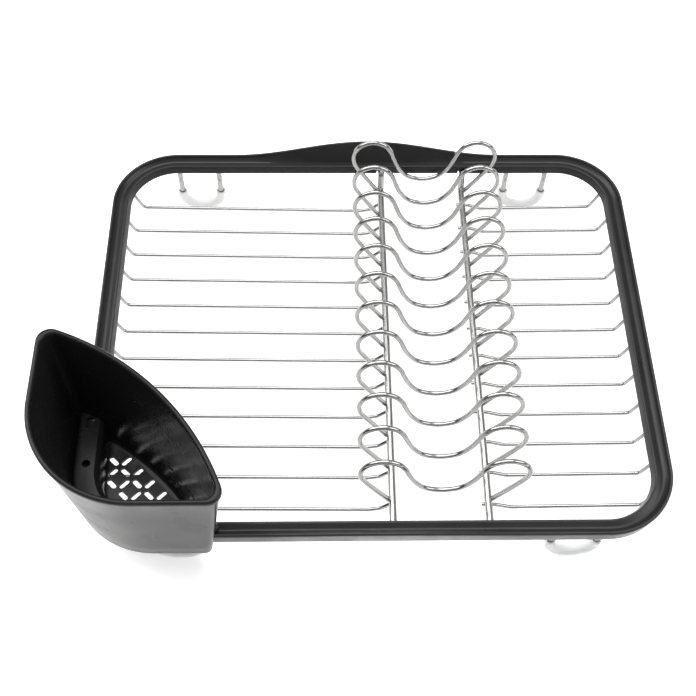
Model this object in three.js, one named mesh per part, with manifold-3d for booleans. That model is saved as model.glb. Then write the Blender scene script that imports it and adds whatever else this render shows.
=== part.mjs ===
// Dish drying rack: a plastic rim on a wire frame, floor wires, plate dividers, four legs with
// foot caps, and a corner cutlery caddy that straddles the rim and lifts off.
// Millimetres, +X along the long side, +Y to the back, +Z up. Heights below are measured from
// the top of the rim; the finished group is moved so that the origin is under its middle.
import * as THREE from "three";
import { mergeVertices } from "three/addons/utils/BufferGeometryUtils.js";
import Module from "manifold-3d";

const wasm = await Module();
wasm.setup();

// Rim
const RIM_HALF_X = 181;
const RIM_HALF_Y = 149.3;
const RIM_CORNER = 44;
const RIM_SKIRT = 12;
const RIM_LIP_IN = 12.4;
const RIM_LIP_DEPTH = 7.7;
const RIM_CREST_IN = 10.4;
const RIM_CREST_DEPTH = 1.9;
const RIM_GROOVE_IN = 5.4;
const RIM_GROOVE_DEPTH = 4.2;
const HANDLE_HALF = 96;
const HANDLE_RISE = 10;
const HANDLE_FLARE = 3.8;
const NOTCH_Y = 137.65;
const NOTCH_LENGTH = 4.7;
// Ring wire in the rim's channel
const RING_R = 1.8;
const RING_IN = 6;
const RING_Z = -9.6;
// Cross rails
const RAIL_R = 2.4;
const RAIL_LEFT_X = 10.2;
const RAIL_RIGHT_X = 69.5;
const RAIL_Z = -21.9;
// Floor wires
const FLOOR_R = 1.25;
const FLOOR_COUNT = 12;
const FLOOR_PITCH = 21.84;
const FLOOR_MID_Y = 2.1;
const FLOOR_Z = -27.8;
const FLOOR_BEND_IN = 13.2;
// Plate dividers
const DIVIDER_R = 1.6;
const DIVIDER_COUNT = 12;
const DIVIDER_PITCH = 22.6;
const DIVIDER_MID_Y = 8.4;
// Legs and foot caps
const LEG_R = 2;
const LEG_SPAN = 28.5;
const LEG_BOTTOM = -47.3;
const LEG_BEND = 13;
const CAP_OUT = 3.5;
const CAP_IN = 2.3;
const CAP_TOP = -31;
const CAP_FLAT = 0.3;
// Caddy, measured from the rim's front left outer corner
const CADDY_TOP = 78;
const CADDY_BOTTOM = -17;
const CADDY_OVERHANG = 14.5;
const CADDY_CORNER = 63;
const CADDY_TIP = 8;
const CADDY_FRONT_R = 169.5;
const CADDY_FRONT_C = -63.5;
const CADDY_DRAFT = 0.105;
const CADDY_WALL = 2;
const LIP_DEPTH = 4.5;
const SLOT_PITCH = 7.8;
const SLOT_LENGTH = 7.3;
const SLOT_WIDTH = 3;
// Distance left between two pieces that touch
const GAP = 0.3;

const DEG = Math.PI / 180;

const PLASTIC = { color: 0x303133, roughness: 0.42, metalness: 0 };
const CADDY_PLASTIC = { color: 0x17181a, roughness: 0.3, metalness: 0 };
const STEEL = { color: 0xc9c9c7, roughness: 0.3, metalness: 1 };
const CAP_PLASTIC = { color: 0xe9ebe8, roughness: 0.35, metalness: 0, transparent: true, opacity: 0.75 };

const rack = new THREE.Group();

function addMesh(name, geometry, look) {
  const mesh = new THREE.Mesh(geometry, new THREE.MeshStandardMaterial(look));
  mesh.name = name;
  rack.add(mesh);
  return mesh;
}

// ---- general shapes ----

// A wire's centre line through given points, with one section at each of them.
class WirePath extends THREE.Curve {
  constructor(points) {
    super();
    this.points = points;
  }

  getUtoTmapping(u) {
    return u;
  }

  getPoint(t, target = new THREE.Vector3()) {
    const last = this.points.length - 1;
    const at = Math.min(Math.max(t, 0), 1) * last;
    const i = Math.min(Math.floor(at), last - 1);
    return target.lerpVectors(this.points[i], this.points[i + 1], at - i);
  }

  getTangent(t, target = new THREE.Vector3()) {
    const last = this.points.length - 1;
    const i = Math.round(t * last);
    target.set(0, 0, 0);
    if (i > 0) target.add(this.points[i].clone().sub(this.points[i - 1]).normalize());
    if (i < last) target.add(this.points[i + 1].clone().sub(this.points[i]).normalize());
    return target.normalize();
  }
}

// Replaces each inner corner of a path by a round bend.
function bent(corners, radius, steps) {
  const out = [corners[0]];
  for (let i = 1; i < corners.length - 1; i += 1) {
    const here = corners[i];
    const back = corners[i - 1].clone().sub(here).normalize();
    const ahead = corners[i + 1].clone().sub(here).normalize();
    const half = back.angleTo(ahead) / 2;
    const away = radius / Math.tan(half);
    const middle = back.clone().add(ahead).normalize();
    const centre = middle.clone().multiplyScalar(radius / Math.sin(half)).add(here);
    const from = back.clone().multiplyScalar(away).add(here).sub(centre);
    const to = ahead.clone().multiplyScalar(away).add(here).sub(centre);
    const turn = from.angleTo(to);
    for (let k = 0; k <= steps; k += 1) {
      const a = Math.sin(turn * (1 - k / steps)) / Math.sin(turn);
      const b = Math.sin((turn * k) / steps) / Math.sin(turn);
      out.push(from.clone().multiplyScalar(a).addScaledVector(to, b).add(centre));
    }
  }
  out.push(corners[corners.length - 1]);
  return out;
}

function circle(radius, sides, Kind = THREE.Shape) {
  const points = [];
  for (let k = 0; k < sides; k += 1) {
    const angle = ((k + 0.5) * 2 * Math.PI) / sides;
    points.push(new THREE.Vector2(radius * Math.cos(angle), radius * Math.sin(angle)));
  }
  return new Kind(points);
}

// A round wire along a path.
function wire(path, radius, sides, steps) {
  return new THREE.ExtrudeGeometry(circle(radius, sides), {
    steps,
    bevelEnabled: false,
    extrudePath: path,
  });
}

function wireThrough(points, radius, sides) {
  return wire(new WirePath(points), radius, sides, points.length - 1);
}

function volume(positions, triangles) {
  let sum = 0;
  const a = new THREE.Vector3();
  const b = new THREE.Vector3();
  const c = new THREE.Vector3();
  for (let i = 0; i < triangles.length; i += 3) {
    a.fromArray(positions, triangles[i] * 3);
    b.fromArray(positions, triangles[i + 1] * 3);
    c.fromArray(positions, triangles[i + 2] * 3);
    sum += a.dot(b.cross(c)) / 6;
  }
  return sum;
}

// A skin over a row of sections with equal numbers of points. An open row gets flat ends.
function loft(rings, closed) {
  const count = rings[0].length;
  const positions = [];
  for (const ring of rings) {
    for (const point of ring) positions.push(point.x, point.y, point.z);
  }
  const triangles = [];
  const spans = closed ? rings.length : rings.length - 1;
  for (let i = 0; i < spans; i += 1) {
    const next = (i + 1) % rings.length;
    for (let k = 0; k < count; k += 1) {
      const m = (k + 1) % count;
      const a = i * count + k;
      const b = i * count + m;
      const c = next * count + m;
      const d = next * count + k;
      triangles.push(a, b, c, a, c, d);
    }
  }
  if (!closed) {
    const top = (rings.length - 1) * count;
    for (let k = 1; k < count - 1; k += 1) {
      triangles.push(0, k + 1, k);
      triangles.push(top, top + k, top + k + 1);
    }
  }
  if (volume(positions, triangles) < 0) triangles.reverse();
  const geometry = new THREE.BufferGeometry();
  geometry.setAttribute("position", new THREE.Float32BufferAttribute(positions, 3));
  geometry.setIndex(triangles);
  return geometry;
}

function solid(geometry) {
  const bare = geometry.clone();
  bare.deleteAttribute("normal");
  bare.deleteAttribute("uv");
  const merged = mergeVertices(bare, 1e-4);
  return new wasm.Manifold(new wasm.Mesh({
    numProp: 3,
    vertProperties: new Float32Array(merged.attributes.position.array),
    triVerts: new Uint32Array(merged.index.array),
  }));
}

function fromSolid(body) {
  const mesh = body.getMesh();
  const geometry = new THREE.BufferGeometry();
  geometry.setAttribute("position", new THREE.BufferAttribute(new Float32Array(mesh.vertProperties), 3));
  geometry.setIndex(new THREE.BufferAttribute(new Uint32Array(mesh.triVerts), 1));
  return geometry;
}

// ---- rim and ring wire ----

// Points on the rim's outer edge with the direction that leads outwards, all the way round.
function rimStations(handleSteps, cornerSteps) {
  const list = [];
  const flatX = RIM_HALF_X - RIM_CORNER;
  const flatY = RIM_HALF_Y - RIM_CORNER;
  const corner = (sx, sy, from) => {
    for (let k = 0; k <= cornerSteps; k += 1) {
      const angle = (from + (90 * k) / cornerSteps) * DEG;
      const nx = Math.cos(angle);
      const ny = Math.sin(angle);
      list.push({ x: sx * flatX + RIM_CORNER * nx, y: sy * flatY + RIM_CORNER * ny, nx, ny });
    }
  };
  const side = (sy) => {
    for (let k = 0; k <= handleSteps; k += 1) {
      const x = -sy * HANDLE_HALF * (-1 + (2 * k) / handleSteps);
      list.push({ x, y: sy * RIM_HALF_Y, nx: 0, ny: sy });
    }
  };
  corner(1, -1, -90);
  corner(1, 1, 0);
  side(1);
  corner(-1, 1, 90);
  corner(-1, -1, 180);
  side(-1);
  return list;
}

// How far the handle's arch has risen at a place along a long side, from 0 to 1.
function handleShare(station) {
  if (Math.abs(station.ny) < 0.999 || Math.abs(station.x) >= HANDLE_HALF) return 0;
  return Math.cos((Math.PI * station.x) / (2 * HANDLE_HALF)) ** 2;
}

function sweepAround(stations, section) {
  const rings = stations.map((s) => section.map(([inward, z, share]) => {
    const lift = handleShare(s) * share;
    const out = HANDLE_FLARE * lift - inward;
    return new THREE.Vector3(s.x + s.nx * out, s.y + s.ny * out, z + HANDLE_RISE * lift);
  }));
  return loft(rings, true);
}

// Arched opening in the rim's inner wall for a rail's end.
function railNotch(x, sy) {
  const arch = new THREE.Shape();
  const low = -4;
  arch.moveTo(-3.75, low);
  arch.lineTo(3.75, low);
  arch.lineTo(3.75, 0);
  arch.absarc(0, 0, 3.75, 0, Math.PI, false);
  const cutter = new THREE.ExtrudeGeometry(arch, { depth: NOTCH_LENGTH, bevelEnabled: false, curveSegments: 4 });
  cutter.rotateX(Math.PI / 2);
  cutter.translate(x, sy * NOTCH_Y + NOTCH_LENGTH / 2, -7.3);
  return solid(cutter);
}

function rim() {
  const section = [
    [0, -RIM_SKIRT, 0],
    [0, -1, 1],
    [0.9, 0, 1],
    [1.9, -0.3, 1],
    [2.5, -1.7, 1],
    [RIM_GROOVE_IN, -RIM_GROOVE_DEPTH, 0],
    [RIM_CREST_IN - 1.2, -RIM_CREST_DEPTH - 0.1, 0],
    [RIM_CREST_IN, -RIM_CREST_DEPTH, 0],
    [RIM_LIP_IN, -RIM_LIP_DEPTH, 0],
    [RIM_LIP_IN - 1.6, -RIM_LIP_DEPTH - 0.2, 0],
    [RIM_CREST_IN - 1.5, -RIM_CREST_DEPTH - 2, 0],
    [6.8, -5.8, 0],
    [4.6, -6.2, 0],
    [2, -4.4, 1],
    [1.9, -RIM_SKIRT, 0],
  ];
  let body = solid(sweepAround(rimStations(12, 7), section));
  for (const x of [RAIL_LEFT_X, RAIL_RIGHT_X]) {
    body = body.subtract(railNotch(x, 1)).subtract(railNotch(x, -1));
  }
  addMesh("rim", fromSolid(body), PLASTIC);
}

function ringWire() {
  const section = [];
  for (let k = 0; k < 6; k += 1) {
    const angle = (k * 60 + 30) * DEG;
    section.push([RING_IN + RING_R * Math.cos(angle), RING_Z + RING_R * Math.sin(angle), 0]);
  }
  addMesh("perimeter_frame_wire", sweepAround(rimStations(2, 7), section), STEEL);
}

// ---- rails, floor wires, dividers ----

function rail(name, x) {
  const endY = RIM_HALF_Y - RING_IN - RING_R - GAP;
  const half = [
    new THREE.Vector3(x, endY, -8.8),
    new THREE.Vector3(x, 138.2, -8.6),
    new THREE.Vector3(x, 134.6, RAIL_Z),
  ];
  const other = half.map((p) => new THREE.Vector3(p.x, -p.y, p.z)).reverse();
  addMesh(name, wireThrough(bent([...half, ...other], 3, 3), RAIL_R, 8), STEEL);
}

// Height and reach of the upturned outer end of a floor wire, in the direction of the side.
function floorOuterEnd(sx, y, cornerIn) {
  const edge = RIM_HALF_X - cornerIn;
  const high = new THREE.Vector3(sx * (edge - 6.8), y, -11.6);
  const low = new THREE.Vector3(sx * (edge - FLOOR_BEND_IN), y, FLOOR_Z);
  return [high, low];
}

// How far the rounded corner of the rim stands in from the side at a given depth.
function cornerInset(y, inward) {
  const beyond = Math.abs(y) - (RIM_HALF_Y - RIM_CORNER);
  if (beyond <= 0) return 0;
  const radius = RIM_CORNER - inward;
  return radius - Math.sqrt(radius * radius - beyond * beyond);
}

function floorWireLeft(index, y) {
  const outer = floorOuterEnd(-1, y, cornerInset(y, RING_IN));
  const points = [
    ...outer,
    new THREE.Vector3(RAIL_LEFT_X - 15, y, FLOOR_Z - 4.4),
    new THREE.Vector3(RAIL_LEFT_X - 7, y, -30.2),
    new THREE.Vector3(RAIL_LEFT_X - 1.6, y, RAIL_Z - 2.2),
  ];
  addMesh(`floor_wire_left_${index}`, wireThrough(bent(points, 4, 2), FLOOR_R, 6), STEEL);
}

function floorWireRight(index, y) {
  const outer = floorOuterEnd(1, y, cornerInset(y, RING_IN));
  const under = RAIL_Z - RAIL_R - GAP - FLOOR_R;
  const points = [
    ...outer,
    new THREE.Vector3(RAIL_RIGHT_X + 14, y, FLOOR_Z - 1.6),
    new THREE.Vector3(RAIL_RIGHT_X + 5, y, under - 0.4),
    new THREE.Vector3(RAIL_RIGHT_X - 4, y, under + 0.2),
  ];
  addMesh(`floor_wire_right_${index}`, wireThrough(bent(points, 4, 2), FLOOR_R, 6), STEEL);
}

// One bent wire: a lobe on each side over its rail, and a low valley between them.
function dividerCurve(y) {
  const middle = (RAIL_LEFT_X + RAIL_RIGHT_X) / 2;
  const side = [
    [33, -20.8],
    [36.6, -14.6],
    [45.6, 0.2],
    [49.6, 8.6],
    [50.1, 17],
    [45.8, 25.4],
    [37, 29.4],
    [28.6, 26.3],
    [24, 20],
    [21.4, 12.6],
    [17.2, 2.4],
    [10.6, -5.6],
  ];
  const left = side.map(([x, z]) => new THREE.Vector3(middle - x, y, z));
  const right = side.map(([x, z]) => new THREE.Vector3(middle + x, y, z)).reverse();
  const valley = new THREE.Vector3(middle, y, -8.7);
  return new THREE.CatmullRomCurve3([...left, valley, ...right], false, "centripetal");
}

function wires() {
  rail("left_rail", RAIL_LEFT_X);
  rail("right_rail", RAIL_RIGHT_X);
  for (let k = 0; k < FLOOR_COUNT; k += 1) {
    const y = FLOOR_MID_Y + ((FLOOR_COUNT - 1) / 2 - k) * FLOOR_PITCH;
    const index = String(k + 1).padStart(2, "0");
    floorWireLeft(index, y);
    floorWireRight(index, y);
  }
  for (let k = 0; k < DIVIDER_COUNT; k += 1) {
    const y = DIVIDER_MID_Y + ((DIVIDER_COUNT - 1) / 2 - k) * DIVIDER_PITCH;
    const index = String(k + 1).padStart(2, "0");
    addMesh(`plate_divider_${index}`, wire(dividerCurve(y), DIVIDER_R, 6, 30), STEEL);
  }
}

// ---- legs ----

function legPoints(x, y, top) {
  const half = LEG_SPAN / 2;
  const corners = [
    new THREE.Vector3(x - half, y, top),
    new THREE.Vector3(x - half, y, LEG_BOTTOM),
    new THREE.Vector3(x + half, y, LEG_BOTTOM),
    new THREE.Vector3(x + half, y, top),
  ];
  return bent(corners, LEG_BEND, 4);
}

// Moulded sleeve over the bend of a leg, with a small flat under it.
function footCap(name, x, y) {
  const section = circle(CAP_OUT, 10);
  section.holes.push(circle(CAP_IN, 8, THREE.Path));
  const path = legPoints(x, y, CAP_TOP);
  const sleeve = new THREE.ExtrudeGeometry(section, {
    steps: path.length - 1,
    bevelEnabled: false,
    extrudePath: new WirePath(path),
  });
  const ground = new THREE.BoxGeometry(60, 20, 10);
  ground.translate(x, y, LEG_BOTTOM - CAP_OUT * Math.cos(18 * DEG) + CAP_FLAT - 5);
  addMesh(name, fromSolid(solid(sleeve).subtract(solid(ground))), CAP_PLASTIC);
}

function legs() {
  const places = [
    ["front_left", -121.5, -139.1, -8.3],
    ["front_right", 121.5, -139.1, -8.3],
    ["back_left", -123, 141.7, -11.8],
    ["back_right", 117, 141.7, -11.8],
  ];
  for (const [place, x, y, top] of places) {
    addMesh(`leg_wire_${place}`, wireThrough(legPoints(x, y, top), LEG_R, 8), STEEL);
    footCap(`foot_cap_${place}`, x, y);
  }
}

// ---- caddy, in its own corner coordinates ----

function arc(out, cx, cy, radius, from, to, steps) {
  for (let k = 0; k <= steps; k += 1) {
    const angle = from + ((to - from) * k) / steps;
    out.push([cx + radius * Math.cos(angle), cy + radius * Math.sin(angle)]);
  }
}

// Fan-shaped outline, moved in by a given distance.
function caddyOutline(inset) {
  const tip = CADDY_TIP - 0.4 * inset;
  const front = CADDY_FRONT_R - inset;
  const side = inset - CADDY_OVERHANG;
  const near = side + tip;
  const far = Math.sqrt((front - tip) ** 2 - (near - CADDY_FRONT_C) ** 2) + CADDY_FRONT_C;
  const meet = Math.atan2(near - CADDY_FRONT_C, far - CADDY_FRONT_C);
  const centre = CADDY_CORNER - CADDY_OVERHANG;
  const out = [];
  arc(out, CADDY_FRONT_C, CADDY_FRONT_C, front, meet, Math.PI / 2 - meet, 12);
  arc(out, near, far, tip, Math.PI / 2 - meet, Math.PI, 4);
  arc(out, centre, centre, CADDY_CORNER - inset, Math.PI, 1.5 * Math.PI, 10);
  arc(out, far, near, tip, -Math.PI / 2, meet, 4);
  const last = out.pop();
  out[0] = last;
  return out.filter((p, k) => {
    const q = out[(k + 1) % out.length];
    return Math.hypot(p[0] - q[0], p[1] - q[1]) > 1e-3;
  });
}

function stack(levels, outline) {
  return solid(loft(levels.map(([z, inset]) => outline(inset).map(([x, y]) => new THREE.Vector3(x, y, z))), false));
}

function wallInset(z) {
  return 1 + CADDY_DRAFT * (CADDY_TOP - LIP_DEPTH - z);
}

// The region inside the rim's corner line, moved in by a given distance.
function cornerRegion(inset) {
  const out = [[130, 130], [inset, 130]];
  arc(out, RIM_CORNER, RIM_CORNER, RIM_CORNER - inset, Math.PI, 1.5 * Math.PI, 10);
  out.push([130, inset]);
  return out;
}

// A long solid that follows the rim's corner, between an outer and an inner face.
function alongRim(levels) {
  const outer = stack(levels.map(([z, from]) => [z, from]), cornerRegion);
  const inner = stack(levels.map(([z, , to], k) => [z + (k === levels.length - 1 ? 1 : 0), to]), cornerRegion);
  return outer.subtract(inner);
}

function capsule(length, width, depth) {
  const reach = (length - width) / 2;
  const shape = new THREE.Shape();
  shape.absarc(reach, 0, width / 2, -Math.PI / 2, Math.PI / 2, false);
  shape.absarc(-reach, 0, width / 2, Math.PI / 2, 1.5 * Math.PI, false);
  return new THREE.ExtrudeGeometry(shape, { depth, bevelEnabled: false, curveSegments: 2 });
}

// Drain slots in the caddy's floor, turned alternately left and right.
function floorSlots() {
  const cutters = [];
  for (let i = 0; i < 8; i += 1) {
    for (let j = 0; j < 8; j += 1) {
      const x = 18.3 + i * SLOT_PITCH;
      const y = 18.3 + j * SLOT_PITCH;
      const beyond = Math.hypot(x - CADDY_FRONT_C, y - CADDY_FRONT_C) > 152.4;
      const tucked = x < 40 && y < 40 && Math.hypot(x - 44, y - 44) > 26;
      if (!beyond && !tucked) {
        const cutter = capsule(SLOT_LENGTH, SLOT_WIDTH, 12);
        cutter.rotateZ((i + j) % 2 === 0 ? 45 * DEG : -45 * DEG);
        cutter.translate(x, y, CADDY_BOTTOM - 6);
        cutters.push(solid(cutter));
      }
    }
  }
  return cutters;
}

// Three rows of slots in the curved wall above the floor slots.
function wallSlots() {
  const cutters = [];
  for (let row = 0; row < 3; row += 1) {
    for (let k = 0; k < 6; k += 1) {
      const angle = (25.2 + 3.1 * k) * DEG;
      const z = -8.2 + row * 8;
      const cutter = capsule(SLOT_LENGTH, SLOT_WIDTH, 14);
      cutter.rotateZ((row + k) % 2 === 0 ? 40 * DEG : -40 * DEG);
      cutter.rotateX(Math.PI / 2);
      cutter.rotateZ(angle + Math.PI / 2);
      const reach = CADDY_FRONT_R - wallInset(z) - 8;
      cutter.translate(CADDY_FRONT_C + reach * Math.cos(angle), CADDY_FRONT_C + reach * Math.sin(angle), z);
      cutters.push(solid(cutter));
    }
  }
  return cutters;
}

// Openings in the rib that covers the rim: two in its top and three in its side, on both branches.
function ribOpenings() {
  const cutters = [];
  const both = (geometry) => {
    const twin = geometry.clone();
    twin.applyMatrix4(new THREE.Matrix4().set(0, 1, 0, 0, 1, 0, 0, 0, 0, 0, -1, 0, 0, 0, 0, 1));
    cutters.push(solid(geometry), solid(twin));
  };
  const square = new THREE.BoxGeometry(5, 7, 12);
  square.translate(5, 75, 2);
  both(square);
  const round = new THREE.CylinderGeometry(2.6, 2.6, 12, 8);
  round.rotateX(Math.PI / 2);
  round.translate(5.2, 47, 2);
  both(round);
  for (let k = 0; k < 3; k += 1) {
    const slit = new THREE.BoxGeometry(6, 2.2, 6);
    slit.translate(13.8, 50 + 8 * k, -11);
    both(slit);
  }
  return cutters;
}

function caddy() {
  const shoulder = CADDY_TOP - LIP_DEPTH;
  const outside = stack([
    [CADDY_BOTTOM, wallInset(CADDY_BOTTOM) + 2.2],
    [CADDY_BOTTOM + 0.9, wallInset(CADDY_BOTTOM) + 0.7],
    [CADDY_BOTTOM + 3, wallInset(CADDY_BOTTOM + 3)],
    [shoulder, 1],
    [shoulder + 1, 0],
    [CADDY_TOP - 1, 0],
    [CADDY_TOP, 0.9],
  ], caddyOutline);
  const floor = CADDY_BOTTOM + CADDY_WALL;
  const inside = stack([
    [floor, wallInset(floor) + CADDY_WALL + 1.5],
    [floor + 1.5, wallInset(floor + 1.5) + CADDY_WALL],
    [shoulder - 1, CADDY_WALL + 1],
    [shoulder + 1.5, CADDY_WALL + 1.1],
    [CADDY_TOP - 0.8, CADDY_WALL + 1],
    [CADDY_TOP, CADDY_WALL + 0.2],
    [CADDY_TOP + 2, CADDY_WALL + 0.2],
  ], caddyOutline);
  const rib = alongRim([
    [CADDY_BOTTOM, -2.6, 14.5],
    [-7, -2.6, 14.5],
    [-0.6, -2.6, 13.2],
    [1.4, -2.2, 11.9],
    [2.6, -0.9, 10],
  ]);
  const saddle = alongRim([
    [CADDY_BOTTOM - 4, -0.8, 13],
    [-7, -0.8, 13],
    [-1.2, -0.8, 11.3],
    [GAP, 0.3, 9.4],
  ]);
  let body = outside.subtract(inside).add(rib.intersect(outside)).subtract(saddle);
  body = body.subtract(wasm.Manifold.union([...floorSlots(), ...wallSlots(), ...ribOpenings()]));
  const mesh = addMesh("cutlery_caddy", fromSolid(body), CADDY_PLASTIC);
  mesh.position.set(-RIM_HALF_X, -RIM_HALF_Y, 0);
}

rim();
ringWire();
wires();
legs();
caddy();

// Origin under the middle of the whole object.
rack.updateMatrixWorld(true);
const box = new THREE.Box3().setFromObject(rack, true);
const centre = box.getCenter(new THREE.Vector3());
for (const child of rack.children) {
  child.position.x -= centre.x;
  child.position.y -= centre.y;
  child.position.z -= box.min.z;
}

export default rack;
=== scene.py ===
import math
import random

import bpy
from mathutils import Matrix, Vector


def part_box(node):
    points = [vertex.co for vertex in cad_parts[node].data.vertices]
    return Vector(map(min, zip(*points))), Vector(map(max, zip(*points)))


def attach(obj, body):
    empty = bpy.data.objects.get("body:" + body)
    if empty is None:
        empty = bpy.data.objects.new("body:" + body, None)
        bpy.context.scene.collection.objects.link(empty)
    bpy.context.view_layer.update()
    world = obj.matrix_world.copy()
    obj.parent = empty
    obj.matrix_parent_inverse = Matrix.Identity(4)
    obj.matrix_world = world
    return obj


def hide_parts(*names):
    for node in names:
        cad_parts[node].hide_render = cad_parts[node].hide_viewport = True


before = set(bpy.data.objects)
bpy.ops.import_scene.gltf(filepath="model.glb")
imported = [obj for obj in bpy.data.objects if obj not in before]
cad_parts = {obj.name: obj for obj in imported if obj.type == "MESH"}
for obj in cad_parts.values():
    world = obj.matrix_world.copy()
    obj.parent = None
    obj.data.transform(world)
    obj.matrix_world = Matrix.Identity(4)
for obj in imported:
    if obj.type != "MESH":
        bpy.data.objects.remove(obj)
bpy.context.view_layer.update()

MM = 0.001
RAD = math.pi / 180

# ---- sizes in mm, heights from the top of the rim ----
HANDLE_HALF, HANDLE_RISE, HANDLE_FLARE = 96.0, 10.0, 3.8
NOTCH_Y, NOTCH_Z, NOTCH_R, NOTCH_LENGTH = 137.65, -7.3, 3.75, 4.7
SKIRT = 12.0
CORNER = 44.0
RING_IN, RING_Z, RING_R = 6.0, -9.6, 1.8
RAIL_R, RAIL_Z, RAIL_BEND = 2.4, -21.9, 3.0
FLOOR_R, FLOOR_Z, FLOOR_BEND, FLOOR_BEND_IN = 1.25, -27.8, 4.0, 13.2
DIVIDER_R = 1.6
LEG_R, LEG_SPAN, LEG_BEND, LEG_BOTTOM = 2.0, 28.5, 13.0, -47.3
LEG_TOP_FRONT, LEG_TOP_BACK = -7.9, -10.2
CAP_OUT, CAP_IN, CAP_TOP = 3.5, 2.15, -31.0
LIP_TOP, LIP_DEPTH, CADDY_BOTTOM, CADDY_WALL = 78.0, 4.5, -17.0, 2.0
OVERHANG, CADDY_CORNER, TIP, FRONT_R, FRONT_C = 14.5, 63.0, 8.0, 169.5, -63.5
DRAFT = 0.105
SLOT_LENGTH, SLOT_WIDTH, SLOT_PITCH, SLOT_FIRST = 7.3, 3.0, 7.8, 18.3
SLOT_REACH, SLOT_CORNER_REACH = 152.4, 26.0

rim_low, rim_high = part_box("rim")
MID_X = (rim_low[0] + rim_high[0]) / 2
MID_Y = (rim_low[1] + rim_high[1]) / 2
TOP = rim_high[2] - HANDLE_RISE * MM
HALF_X = (rim_high[0] - rim_low[0]) / 2 / MM
HALF_Y = (rim_high[1] - rim_low[1]) / 2 / MM - HANDLE_FLARE


def at(x, y, z):
    """Row-frame point of a place given in mm from the rim's middle and top."""
    return Vector((MID_X + x * MM, MID_Y + y * MM, TOP + z * MM))


def middle(node):
    """Middle of a CAD node in mm from the rim's middle and top."""
    low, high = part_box(node)
    return [((low[k] + high[k]) / 2 - (MID_X, MID_Y, TOP)[k]) / MM for k in range(3)]


# ---- materials ----

def node_material(name, base, shade, rough, grain, metallic=0.0, **fixed):
    """Principled material with clouded colour, smeared roughness and a fine bump.

    base and shade are the two colours; rough is (lowest, highest, cloud scale, smear scale);
    grain is the bump's (scale, strength, distance)."""
    mat = bpy.data.materials.new(name)
    mat.use_nodes = True
    tree = mat.node_tree
    shader = tree.nodes["Principled BSDF"]
    shader.inputs["Metallic"].default_value = metallic
    for key, value in fixed.items():
        shader.inputs[key.replace("_", " ")].default_value = value
    coords = tree.nodes.new("ShaderNodeTexCoord")
    cloud = tree.nodes.new("ShaderNodeTexNoise")
    cloud.inputs["Scale"].default_value = rough[2]
    cloud.inputs["Detail"].default_value = 5
    tree.links.new(coords.outputs["Object"], cloud.inputs["Vector"])
    ramp = tree.nodes.new("ShaderNodeValToRGB")
    ramp.color_ramp.elements[0].position = 0.32
    ramp.color_ramp.elements[0].color = (*shade, 1)
    ramp.color_ramp.elements[1].position = 0.68
    ramp.color_ramp.elements[1].color = (*base, 1)
    tree.links.new(cloud.outputs["Fac"], ramp.inputs["Fac"])
    tree.links.new(ramp.outputs["Color"], shader.inputs["Base Color"])
    smear = tree.nodes.new("ShaderNodeTexNoise")
    smear.inputs["Scale"].default_value = rough[3]
    smear.inputs["Detail"].default_value = 6
    tree.links.new(coords.outputs["Object"], smear.inputs["Vector"])
    span = tree.nodes.new("ShaderNodeMapRange")
    span.inputs["From Min"].default_value = 0.3
    span.inputs["From Max"].default_value = 0.7
    span.inputs["To Min"].default_value = rough[0]
    span.inputs["To Max"].default_value = rough[1]
    tree.links.new(smear.outputs["Fac"], span.inputs["Value"])
    tree.links.new(span.outputs["Result"], shader.inputs["Roughness"])
    fine = tree.nodes.new("ShaderNodeTexNoise")
    fine.inputs["Scale"].default_value = grain[0]
    fine.inputs["Detail"].default_value = 3
    tree.links.new(coords.outputs["Object"], fine.inputs["Vector"])
    bump = tree.nodes.new("ShaderNodeBump")
    bump.inputs["Strength"].default_value = grain[1]
    bump.inputs["Distance"].default_value = grain[2]
    tree.links.new(fine.outputs["Fac"], bump.inputs["Height"])
    tree.links.new(bump.outputs["Normal"], shader.inputs["Normal"])
    return mat


RIM_MAT = node_material("satin_black_plastic", (0.017, 0.017, 0.018), (0.012, 0.012, 0.013),
                        (0.27, 0.38, 22, 60), (1900, 0.12, 0.0001), IOR=1.35)
CADDY_MAT = node_material("gloss_black_plastic", (0.014, 0.014, 0.0138), (0.01, 0.01, 0.01),
                          (0.2, 0.3, 18, 45), (900, 0.05, 0.0001), IOR=1.27)
STEEL_MAT = node_material("satin_steel", (0.36, 0.36, 0.355), (0.33, 0.33, 0.325),
                          (0.2, 0.25, 40, 90), (1200, 0.006, 0.00002), metallic=1.0)
WELD_MAT = node_material("weld_steel", (0.42, 0.41, 0.39), (0.24, 0.23, 0.21),
                         (0.3, 0.5, 400, 500), (1500, 0.4, 0.0002), metallic=1.0)
CAP_MAT = node_material("milky_cap", (0.9, 0.91, 0.9), (0.87, 0.88, 0.875),
                        (0.28, 0.36, 60, 120), (900, 0.03, 0.00005), IOR=1.46, Transmission_Weight=0.25)


# ---- mesh helpers ----

def mesh_object(name, verts, faces, mat, sharp=40.0):
    mesh = bpy.data.meshes.new(name)
    mesh.from_pydata([tuple(v) for v in verts], [], faces)
    mesh.validate()
    obj = bpy.data.objects.new(name, mesh)
    bpy.context.scene.collection.objects.link(obj)
    mesh.materials.append(mat)
    smooth(obj, sharp)
    return obj


def smooth(obj, sharp):
    for face in obj.data.polygons:
        face.use_smooth = True
    obj.data.set_sharp_from_angle(angle=sharp * RAD)


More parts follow.
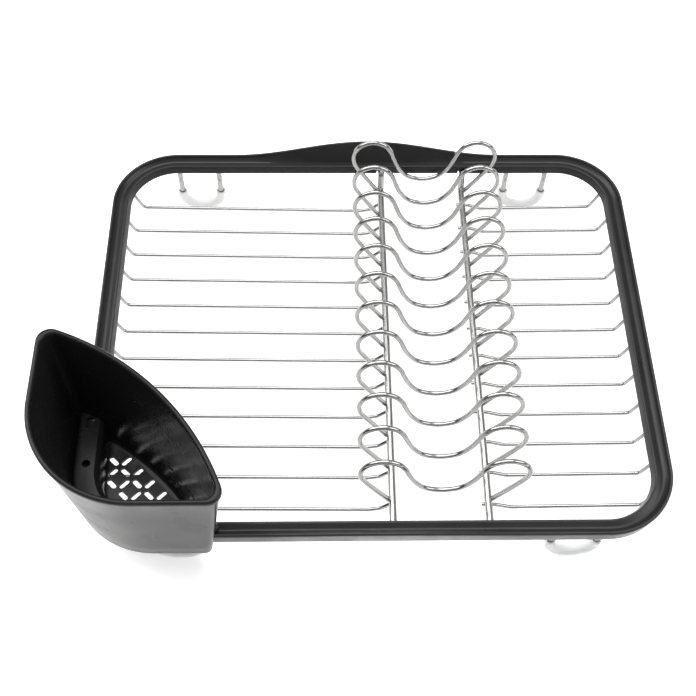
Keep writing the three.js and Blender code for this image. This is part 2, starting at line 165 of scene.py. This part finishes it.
def skin(rings, closed):
    """Vertices and faces of a skin over equal rings; an open one gets end faces."""
    count = len(rings[0])
    verts = [p for ring in rings for p in ring]
    faces = []
    for i in range(len(rings) if closed else len(rings) - 1):
        a = i * count
        b = ((i + 1) % len(rings)) * count
        for k in range(count):
            m = (k + 1) % count
            faces.append((a + k, a + m, b + m, b + k))
    if not closed:
        faces.append(tuple(range(count))[::-1])
        faces.append(tuple((len(rings) - 1) * count + k for k in range(count)))
    return verts, outward(verts, faces)


def outward(verts, faces):
    total = 0.0
    for face in faces:
        first = verts[face[0]]
        for k in range(1, len(face) - 1):
            total += first.dot(verts[face[k]].cross(verts[face[k + 1]]))
    return faces if total > 0 else [face[::-1] for face in faces]


def bent(corners, radius, steps=8):
    """The path with each inner corner turned into a round bend."""
    out = [corners[0]]
    for i in range(1, len(corners) - 1):
        here = corners[i]
        back = (corners[i - 1] - here).normalized()
        ahead = (corners[i + 1] - here).normalized()
        half = back.angle(ahead) / 2
        centre = here + (back + ahead).normalized() * (radius / math.sin(half))
        start = here + back * (radius / math.tan(half)) - centre
        end = here + ahead * (radius / math.tan(half)) - centre
        turn = start.angle(end)
        for k in range(steps + 1):
            share = k / steps
            a = math.sin(turn * (1 - share)) / math.sin(turn)
            b = math.sin(turn * share) / math.sin(turn)
            out.append(centre + start * a + end * b)
    out.append(corners[-1])
    return out


def frames(path):
    """(point, side, up) along a path, without twist."""
    out = []
    side = None
    for i, point in enumerate(path):
        ahead = (path[min(i + 1, len(path) - 1)] - point).normalized()
        back = (point - path[max(i - 1, 0)]).normalized()
        along = (ahead + back).normalized()
        if side is None:
            side = along.orthogonal().normalized()
        side = (side - along * side.dot(along)).normalized()
        out.append((point, side, along.cross(side)))
    return out


def wire_rings(path, radius, sides):
    """Round sections along a path given in mm, closed by slightly domed ends."""
    steps = frames(path)
    rings = []

    def ring(index, factor, shift):
        point, side, up = steps[index]
        along = side.cross(up)
        centre = point + along * shift
        rings.append([centre + (side * math.cos(a) + up * math.sin(a)) * (radius * factor)
                      for a in (2 * math.pi * k / sides for k in range(sides))])

    ring(0, 0.55, 0.0)
    ring(0, 0.88, radius * 0.12)
    for i in range(len(steps)):
        ring(i, 1.0, radius * 0.4 if i == 0 else (-radius * 0.4 if i == len(steps) - 1 else 0.0))
    ring(len(steps) - 1, 0.88, -radius * 0.12)
    ring(len(steps) - 1, 0.55, 0.0)
    return [[at(*p) for p in r] for r in rings]


def wire(name, node, path, radius, sides=14):
    verts, faces = skin(wire_rings(path, radius, sides), False)
    obj = mesh_object(name, verts, faces, STEEL_MAT)
    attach(obj, "rack")
    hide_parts(node)
    return obj


def bead(verts, faces, centre, axis, long, wide, rng):
    """Adds a lumpy weld bead to a vertex and face list."""
    turn = Vector((0, 0, 1)).rotation_difference(axis).to_matrix()
    first = len(verts)
    rows, sides = 6, 10
    verts.append(at(*(centre + turn @ Vector((0, 0, -long)))))
    for i in range(1, rows):
        a = math.pi * i / rows
        for k in range(sides):
            b = 2 * math.pi * k / sides
            swell = 1 + rng.uniform(-0.07, 0.07)
            local = Vector((math.sin(a) * math.cos(b) * wide, math.sin(a) * math.sin(b) * wide,
                            -math.cos(a) * long)) * swell
            verts.append(at(*(centre + turn @ local)))
    verts.append(at(*(centre + turn @ Vector((0, 0, long)))))
    last = len(verts) - 1
    for k in range(sides):
        m = (k + 1) % sides
        faces.append((first, first + 1 + m, first + 1 + k))
        for i in range(rows - 2):
            a = first + 1 + i * sides
            b = a + sides
            faces.append((a + k, a + m, b + m, b + k))
        end = first + 1 + (rows - 2) * sides
        faces.append((end + k, end + m, last))


def beads(name, spots):
    """One piece made of weld beads at (centre, axis, half length, half width)."""
    rng = random.Random(len(name) * 7 + len(spots))
    verts, faces = [], []
    for centre, axis, long, wide in spots:
        bead(verts, faces, Vector(centre), Vector(axis), long, wide, rng)
    obj = mesh_object(name, verts, faces, WELD_MAT, 180)
    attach(obj, "rack")
    return obj


# ---- rim ----

def rounded(points, radii, steps=4):
    """A closed 2-D outline with its corners eased."""
    out = []
    total = len(points)
    for i, (here, radius) in enumerate(zip(points, radii)):
        p = Vector(here)
        back = Vector(points[i - 1]) - p
        ahead = Vector(points[(i + 1) % total]) - p
        a = p + back.normalized() * min(radius, back.length * 0.48)
        b = p + ahead.normalized() * min(radius, ahead.length * 0.48)
        for k in range(steps + 1):
            t = k / steps
            out.append(a * (1 - t) ** 2 + p * (2 * t * (1 - t)) + b * t * t)
    return out


def rim_stations(side_steps, corner_steps):
    flat_x, flat_y = HALF_X - CORNER, HALF_Y - CORNER
    out = []
    for sx, sy, start in ((1, -1, -90), (1, 1, 0), (-1, 1, 90), (-1, -1, 180)):
        for k in range(corner_steps + 1):
            a = (start + 90 * k / corner_steps) * RAD
            out.append((sx * flat_x + CORNER * math.cos(a), sy * flat_y + CORNER * math.sin(a),
                        math.cos(a), math.sin(a)))
        if start in (0, 180):  # a long side follows this corner
            for k in range(side_steps + 1):
                x = -sy * HANDLE_HALF * (-1 + 2 * k / side_steps)
                out.append((x, sy * HALF_Y, 0.0, float(sy)))
    return out


def around(stations, section):
    """Skin of a section of (inward, height, share of the handle) swept round the rim."""
    rings = []
    for x, y, nx, ny in stations:
        share = 0.0
        if abs(ny) > 0.999 and abs(x) < HANDLE_HALF:
            share = math.cos(math.pi * x / (2 * HANDLE_HALF)) ** 2
        ring = []
        for inward, z, part in section:
            out = HANDLE_FLARE * share * part - inward
            ring.append(at(x + nx * out, y + ny * out, z + HANDLE_RISE * share * part))
        rings.append(ring)
    return skin(rings, True)


def handle_part(inward, z):
    """Share of the handle's rise: full at the outer ridge, none at the groove or the skirt's foot."""
    if inward > 2.2:
        return min(1.0, max(0.0, (5.3 - inward) / 2.7)) if z > -7 else 0.0
    return min(1.0, max(0.0, (z + SKIRT) / (10.8 if inward < 1.2 else 7.6)))


def evaluated(obj):
    graph = bpy.context.evaluated_depsgraph_get()
    return bpy.data.meshes.new_from_object(obj.evaluated_get(graph))


def boolean(obj, tool, operation):
    mod = obj.modifiers.new("cut", "BOOLEAN")
    mod.operation = operation
    mod.solver = "EXACT"
    mod.object = tool
    mesh = evaluated(obj)
    obj.modifiers.clear()
    old = obj.data
    obj.data = mesh
    bpy.data.meshes.remove(old)
    bpy.data.objects.remove(tool)


def prism(outline, low, high, place):
    """Verts and faces of an upright prism moved by a matrix; the outline is (x, y)."""
    rings = [[place @ Vector((x, y, z)) for x, y in outline] for z in (low, high)]
    return skin(rings, False)


def joined(name, parts, mat):
    verts, faces = [], []
    for part_verts, part_faces in parts:
        base = len(verts)
        verts += part_verts
        faces += [tuple(base + k for k in face) for face in part_faces]
    return mesh_object(name, verts, faces, mat)


def make_rim():
    points = [(1.7, -SKIRT), (0, -1.2), (0.7, 0), (1.9, 0), (2.7, -1.8), (5.3, -4.25), (9.3, -1.95),
              (10.5, -1.9), (12.4, -7.5), (11.0, -7.9), (8.9, -4.0), (6.8, -5.8), (4.6, -6.2),
              (2.1, -4.4), (2.9, -SKIRT)]
    radii = [0.35, 0.6, 0.4, 0.5, 0.5, 1.6, 0.6, 0.7, 0.5, 0.4, 0.5, 0.6, 0.6, 0.4, 0.3]
    section = [(p.x, p.y, handle_part(p.x, p.y)) for p in rounded(points, radii)]
    verts, faces = around(rim_stations(72, 28), section)
    obj = mesh_object("rim_moulding", verts, faces, RIM_MAT)
    arch = [(-NOTCH_R, -5), (NOTCH_R, -5), *arc(0, 0, NOTCH_R, 0, math.pi, 16)]
    cuts = []
    for node in ("left_rail", "right_rail"):
        x = middle(node)[0]
        for sy in (1, -1):
            place = Matrix(((MM, 0, 0, MID_X + x * MM), (0, 0, MM, MID_Y + sy * NOTCH_Y * MM),
                            (0, MM, 0, TOP + NOTCH_Z * MM), (0, 0, 0, 1)))
            cuts.append(prism(arch, -NOTCH_LENGTH / 2, NOTCH_LENGTH / 2, place))
    boolean(obj, joined("notch_cutters", cuts, RIM_MAT), "DIFFERENCE")
    smooth(obj, 38)
    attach(obj, "rack")
    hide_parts("rim")


def make_ring():
    section = [(RING_IN + RING_R * math.cos(a), RING_Z + RING_R * math.sin(a), 0.0)
               for a in (2 * math.pi * k / 14 for k in range(14))]
    verts, faces = around(rim_stations(2, 24), section)
    obj = mesh_object("ring_wire", verts, faces, STEEL_MAT)
    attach(obj, "rack")
    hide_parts("perimeter_frame_wire")


# ---- wires ----

def make_rail(node):
    x = middle(node)[0]
    end = HALF_Y - RING_IN - RING_R + 0.6
    half = [Vector((x, end, -8.8)), Vector((x, 138.2, -8.6)), Vector((x, 134.6, RAIL_Z))]
    other = [Vector((p.x, -p.y, p.z)) for p in half][::-1]
    wire(node + "_wire", node, bent(half + other, RAIL_BEND), RAIL_R, 20)


def corner_inset(y):
    """How far the ring wire stands in from the side at a place near a corner."""
    beyond = abs(y) - (HALF_Y - CORNER)
    if beyond <= 0:
        return 0.0
    radius = CORNER - RING_IN
    return radius - math.sqrt(radius * radius - beyond * beyond)


def make_floor(side, k):
    node = f"floor_wire_{side}_{k:02d}"
    sx = -1 if side == "left" else 1
    y = middle(node)[1]
    rail_x = middle(side + "_rail")[0]
    edge = HALF_X - corner_inset(y)
    path = [Vector((sx * (edge - 6.4), y, -10.6)), Vector((sx * (edge - FLOOR_BEND_IN), y, FLOOR_Z))]
    if side == "left":
        path += [Vector((rail_x - 15, y, FLOOR_Z - 4.4)), Vector((rail_x - 7, y, -30.2)),
                 Vector((rail_x - 1.1, y, RAIL_Z - 1.8))]
        weld = ((rail_x - 1.2, y, RAIL_Z - 2.2), (0, 1, 0), 1.7, 1.0)
    else:
        under = RAIL_Z - RAIL_R - FLOOR_R + 0.15
        path += [Vector((rail_x + 14, y, FLOOR_Z - 1.6)), Vector((rail_x + 5, y, under - 0.4)),
                 Vector((rail_x - 4, y, under + 0.2))]
        weld = ((rail_x, y, RAIL_Z - 2.3), (0, 1, 0), 1.9, 1.1)
    wire(node + "_wire", node, bent(path, FLOOR_BEND), FLOOR_R)
    ring = ((sx * (edge - 6.5), y, -11.3), (0, 1, 0), 1.7, 1.2)
    return weld, ring


def catmull(points, steps):
    """Centripetal curve through points."""
    pts = [points[0] * 2 - points[1], *points, points[-1] * 2 - points[-2]]
    out = []
    for i in range(1, len(pts) - 2):
        p0, p1, p2, p3 = pts[i - 1:i + 3]
        t1 = (p1 - p0).length ** 0.5
        t2 = t1 + (p2 - p1).length ** 0.5
        t3 = t2 + (p3 - p2).length ** 0.5
        for k in range(steps):
            t = t1 + (t2 - t1) * k / steps
            a1 = p0 * ((t1 - t) / t1) + p1 * (t / t1)
            a2 = p1 * ((t2 - t) / (t2 - t1)) + p2 * ((t - t1) / (t2 - t1))
            a3 = p2 * ((t3 - t) / (t3 - t2)) + p3 * ((t - t2) / (t3 - t2))
            b1 = a1 * ((t2 - t) / t2) + a2 * (t / t2)
            b2 = a2 * ((t3 - t) / (t3 - t1)) + a3 * ((t - t1) / (t3 - t1))
            out.append(b1 * ((t2 - t) / (t2 - t1)) + b2 * ((t - t1) / (t2 - t1)))
    out.append(points[-1])
    return out


def make_divider(k):
    node = f"plate_divider_{k:02d}"
    y = middle(node)[1]
    centre = (middle("left_rail")[0] + middle("right_rail")[0]) / 2
    side = [(31.9, -22.2), (36.6, -14.6), (45.6, 0.2), (49.6, 8.6), (50.1, 17), (45.8, 25.4), (37, 29.4),
            (28.6, 26.3), (24, 20), (21.4, 12.6), (17.2, 2.4), (10.6, -5.6)]
    left = [Vector((centre - x, y, z)) for x, z in side]
    right = [Vector((centre + x, y, z)) for x, z in side][::-1]
    path = catmull([*left, Vector((centre, y, -8.7)), *right], 7)
    wire(node + "_wire", node, path, DIVIDER_R, 16)
    return [((centre + s * 31.6, y, -22.0), (0, 1, 0), 2.0, 1.1) for s in (-1, 1)]


def leg_path(x, y, top):
    half = LEG_SPAN / 2
    corners = [Vector((x - half, y, top)), Vector((x - half, y, LEG_BOTTOM)),
               Vector((x + half, y, LEG_BOTTOM)), Vector((x + half, y, top))]
    return bent(corners, LEG_BEND, 12)


def make_leg(place):
    x, y, _ = middle("leg_wire_" + place)
    top = LEG_TOP_FRONT if y < 0 else LEG_TOP_BACK
    wire(f"leg_wire_{place}_wire", "leg_wire_" + place, leg_path(x, y, top), LEG_R, 18)
    path = leg_path(x, y, CAP_TOP)
    path = [path[0], path[0] + Vector((0, 0, -0.5)), *path[1:-1], path[-1] + Vector((0, 0, -0.5)), path[-1]]
    steps = frames(path)
    sides = 24
    rings = []
    for full, side in ((CAP_OUT, 1), (CAP_IN, -1)):
        chain = steps if side == 1 else steps[::-1]
        for i, (point, across, up) in enumerate(chain):
            radius = full
            if i in (0, len(chain) - 1):
                radius -= 0.45 * side
            rings.append([at(*(point + (across * math.cos(a) + up * math.sin(a)) * radius))
                          for a in (2 * math.pi * k / sides for k in range(sides))])
    for ring in rings:
        for p in ring:
            p.z = max(p.z, 0.0)
    verts, faces = skin(rings, True)
    cap = mesh_object(f"foot_cap_{place}_sleeve", verts, faces, CAP_MAT)
    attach(cap, "rack")
    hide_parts("foot_cap_" + place)
    weld_y, weld_z = (y + 0.8, -11.0) if y > 0 else (y - 2.2, -9.4)
    return [((x + s * LEG_SPAN / 2, weld_y, weld_z), (1, 0, 0), 2.2, 1.3) for s in (-1, 1)]


# ---- caddy, in mm from the rim's front left corner ----

def arc(cx, cy, radius, start, end, steps):
    return [(cx + radius * math.cos(start + (end - start) * k / steps),
             cy + radius * math.sin(start + (end - start) * k / steps)) for k in range(steps + 1)]


def caddy_outline(inset):
    """The fan-shaped plan of the caddy, moved in by a distance."""
    tip = TIP - 0.4 * inset
    front = FRONT_R - inset
    near = inset - OVERHANG + tip
    far = math.sqrt((front - tip) ** 2 - (near - FRONT_C) ** 2) + FRONT_C
    meet = math.atan2(near - FRONT_C, far - FRONT_C)
    centre = CADDY_CORNER - OVERHANG
    parts = [arc(FRONT_C, FRONT_C, front, meet, math.pi / 2 - meet, 44),
             arc(near, far, tip, math.pi / 2 - meet, math.pi, 12)[1:],
             arc(centre, centre, CADDY_CORNER - inset, math.pi, 1.5 * math.pi, 40),
             arc(far, near, tip, -math.pi / 2, meet, 12)[:-1]]
    return [p for part in parts for p in part]


def corner_region(inset):
    """The region inside the rim's corner line, moved in by a distance."""
    return [(130, 130), (inset, 130), *arc(CORNER, CORNER, CORNER - inset, math.pi, 1.5 * math.pi, 28),
            (130, inset)]


def local(x, y, z):
    """Row-frame point of a place given from the rim's front left corner and top."""
    return at(x - HALF_X, y - HALF_Y, z)


def stack(name, levels, outline):
    rings = [[local(x, y, z) for x, y in outline(inset)] for z, inset in levels]
    verts, faces = skin(rings, False)
    return mesh_object(name, verts, faces, CADDY_MAT)


def wall_inset(z):
    """How far the caddy's drafted wall stands in from its lip at a height."""
    return 1 + DRAFT * (LIP_TOP - LIP_DEPTH - z)


def along_rim(name, levels):
    """A solid that follows the rim's corner between an outer and an inner face."""
    outer = stack(name, [(z, a) for z, a, _ in levels], corner_region)
    inner = stack(name + "_core", [(z + (1 if k == len(levels) - 1 else 0), b)
                                   for k, (z, _, b) in enumerate(levels)], corner_region)
    boolean(outer, inner, "DIFFERENCE")
    return outer


def capsule(length, width, steps=6):
    reach = (length - width) / 2
    return (arc(reach, 0, width / 2, -math.pi / 2, math.pi / 2, steps)
            + arc(-reach, 0, width / 2, math.pi / 2, 1.5 * math.pi, steps))


def local_place(turn, x, y, z):
    move = Matrix.Translation(local(x, y, z))
    return move @ turn.to_4x4() @ Matrix.Scale(MM, 4)


def caddy_openings():
    cuts = []
    shape = capsule(SLOT_LENGTH, SLOT_WIDTH)
    for i in range(8):
        for j in range(8):
            x, y = SLOT_FIRST + i * SLOT_PITCH, SLOT_FIRST + j * SLOT_PITCH
            beyond = math.hypot(x - FRONT_C, y - FRONT_C) > SLOT_REACH
            tucked = x < 40 and y < 40 and math.hypot(x - CORNER, y - CORNER) > SLOT_CORNER_REACH
            if not beyond and not tucked:
                turn = Matrix.Rotation((45 if (i + j) % 2 == 0 else -45) * RAD, 3, "Z")
                cuts.append(prism(shape, -6, 6, local_place(turn, x, y, CADDY_BOTTOM)))
    for row in range(3):
        for k in range(6):
            a = (25.2 + 3.1 * k) * RAD
            z = -8.2 + row * 8
            turn = (Matrix.Rotation(a + math.pi / 2, 3, "Z") @ Matrix.Rotation(math.pi / 2, 3, "X")
                    @ Matrix.Rotation((40 if (row + k) % 2 == 0 else -40) * RAD, 3, "Z"))
            reach = FRONT_R - wall_inset(z) - 1
            cuts.append(prism(shape, -6, 6, local_place(turn, FRONT_C + reach * math.cos(a),
                                                        FRONT_C + reach * math.sin(a), z)))
    square = [(p.x, p.y) for p in rounded([(-2.5, -3.5), (2.5, -3.5), (2.5, 3.5), (-2.5, 3.5)], [0.9] * 4)]
    disc = arc(0, 0, 2.6, 0, 2 * math.pi, 20)[:-1]
    slit = capsule(6, 2.2)
    flat = Matrix.Identity(3)
    for swap in (False, True):
        def spot(x, y, z):
            return (y, x, z) if swap else (x, y, z)
        turned = Matrix.Rotation(math.pi / 2, 3, "Z") if swap else flat
        cuts.append(prism(square, -6, 6, local_place(turned, *spot(5, 75, 2))))
        cuts.append(prism(disc, -6, 6, local_place(flat, *spot(5.2, 47, 2))))
        for k in range(3):
            side = Matrix.Rotation(math.pi / 2, 3, "X" if swap else "Y")
            if swap:
                side = side @ Matrix.Rotation(math.pi / 2, 3, "Z")
            cuts.append(prism(slit, -3, 3, local_place(side, *spot(13.8, 50 + 8 * k, -11))))
    return joined("opening_cutters", cuts, CADDY_MAT)


def make_caddy():
    bottom, shoulder = CADDY_BOTTOM, LIP_TOP - LIP_DEPTH
    low = wall_inset(bottom)
    body = stack("caddy_shell", [
        (bottom, low + 3.2), (bottom + 0.25, low + 2.1), (bottom + 0.9, low + 1.0), (bottom + 1.9, low + 0.3),
        *((z, wall_inset(z)) for z in (bottom + 3.2, -2, 15, 32, 50)),
        (shoulder - 0.6, 1.06), (shoulder - 0.1, 0.95), (shoulder + 0.4, 0.5),
        (shoulder + 1.0, 0.12), (shoulder + 1.6, 0), (LIP_TOP - 1.5, 0), (LIP_TOP - 0.8, 0.18),
        (LIP_TOP - 0.25, 0.62), (LIP_TOP, 1.25)], caddy_outline)
    floor = bottom + CADDY_WALL
    hollow = stack("caddy_hollow", [
        (floor, wall_inset(floor) + 4.2), (floor + 0.35, wall_inset(floor) + 3.0),
        (floor + 1.1, wall_inset(floor) + 2.3),
        *((z, wall_inset(z) + CADDY_WALL) for z in (floor + 2.2, 0, 20, 42)),
        (shoulder - 2, 3.2), (LIP_TOP - 1.6, 3.1),
        (LIP_TOP - 0.8, 2.85), (LIP_TOP - 0.2, 2.35), (LIP_TOP, 2.0), (LIP_TOP + 2, 2.0)], caddy_outline)
    rib = along_rim("caddy_rib", [(bottom + 0.4, -2.6, 14.5), (-7, -2.6, 14.5), (-0.6, -2.6, 13.2),
                                  (0.9, -2.4, 12.5), (1.8, -1.9, 11.6), (2.4, -1.2, 10.6), (2.6, -0.2, 9.6)])
    limit = [(bottom + 0.3, low + 1.5), (bottom + 3, low + 0.6), (40, wall_inset(40) + 0.6)]
    keep = stack("rib_limit", limit, caddy_outline)
    boolean(rib, keep, "INTERSECT")
    saddle = along_rim("caddy_saddle", [(bottom - 4, -0.8, 13), (-7, -0.8, 13), (-1.2, -0.8, 11.3),
                                        (0.3, 0.3, 9.4)])
    boolean(body, hollow, "DIFFERENCE")
    boolean(body, rib, "UNION")
    boolean(body, saddle, "DIFFERENCE")
    boolean(body, caddy_openings(), "DIFFERENCE")
    smooth(body, 32)
    body.name = "caddy_shell"
    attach(body, "caddy")
    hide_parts("cutlery_caddy")


# ---- floor, light, camera ----

def make_stage():
    half = 2.4
    verts = [Vector((x * half, y * half, -0.0006)) for x, y in ((-1, -1), (1, -1), (1, 1), (-1, 1))]
    mat = node_material("pale_table", (0.9, 0.9, 0.895), (0.89, 0.89, 0.885), (0.55, 0.65, 4, 9),
                        (60, 0.02, 0.0005))
    shader = mat.node_tree.nodes["Principled BSDF"]
    shader.inputs["Emission Color"].default_value = (1, 1, 1, 1)
    shader.inputs["Emission Strength"].default_value = 0.35
    floor = mesh_object("table_top", verts, [(0, 1, 2, 3)], mat)
    bpy.context.scene.view_settings.view_transform = "Standard"
    world = bpy.data.worlds.new("studio")
    bpy.context.scene.world = world
    world.use_nodes = True
    tree = world.node_tree
    back = tree.nodes["Background"]
    coords = tree.nodes.new("ShaderNodeTexCoord")
    split = tree.nodes.new("ShaderNodeSeparateXYZ")
    ramp = tree.nodes.new("ShaderNodeValToRGB")
    tree.links.new(coords.outputs["Generated"], split.inputs["Vector"])
    tree.links.new(split.outputs["Z"], ramp.inputs["Fac"])
    stops = ramp.color_ramp.elements
    stops[0].position, stops[0].color = 0.02, (0.1, 0.1, 0.1, 1)
    stops[1].position, stops[1].color = 0.75, (1, 1, 1, 1)
    extra = stops.new(0.3)
    extra.color = (0.5, 0.5, 0.5, 1)
    tree.links.new(ramp.outputs["Color"], back.inputs["Color"])
    back.inputs["Strength"].default_value = 0.6
    for name, place, size, power in (("key", (-1.3, 0.5, 1.4), 1.2, 24), ("fill", (1.5, -0.2, 1.1), 1.1, 14),
                                     ("overhead", (0.0, 0.3, 1.7), 1.5, 28)):
        light = bpy.data.lights.new(name, "AREA")
        light.size = size
        light.energy = power
        lamp = bpy.data.objects.new(name, light)
        lamp.location = place
        lamp.rotation_euler = (Vector(place) - Vector((0, 0, 0))).to_track_quat("Z", "Y").to_euler()
        bpy.context.scene.collection.objects.link(lamp)


def make_camera():
    yaw, pitch, roll = 2.128 * RAD, 57.54 * RAD, 1.59 * RAD
    ahead = Vector((math.sin(yaw) * math.cos(pitch), math.cos(yaw) * math.cos(pitch), -math.sin(pitch)))
    flat = Vector((math.cos(yaw), -math.sin(yaw), 0))
    above = flat.cross(ahead)
    right = flat * math.cos(roll) + above * math.sin(roll)
    up = above * math.cos(roll) - flat * math.sin(roll)
    data = bpy.data.cameras.new("camera")
    data.sensor_width = 36
    data.lens = 57.405
    cam = bpy.data.objects.new("camera", data)
    spot = at(-30.71, -404.97, 607.64)
    cam.matrix_world = Matrix((
        (right.x, up.x, -ahead.x, spot.x),
        (right.y, up.y, -ahead.y, spot.y),
        (right.z, up.z, -ahead.z, spot.z),
        (0, 0, 0, 1)))
    bpy.context.scene.collection.objects.link(cam)
    bpy.context.scene.camera = cam


make_camera()
make_rim()
make_ring()
ring_welds = []
for rail_side in ("left", "right"):
    make_rail(rail_side + "_rail")
    rail_welds = []
    for number in range(1, 13):
        rail_weld, ring_weld = make_floor(rail_side, number)
        rail_welds.append(rail_weld)
        ring_welds.append(ring_weld)
    beads(f"weld_beads_{rail_side}_rail", rail_welds)
divider_welds = []
for number in range(1, 13):
    divider_welds += make_divider(number)
beads("weld_beads_dividers", divider_welds)
for corner_name in ("front_left", "front_right", "back_left", "back_right"):
    ring_welds += make_leg(corner_name)
beads("weld_beads_ring", ring_welds)
make_caddy()
make_stage()
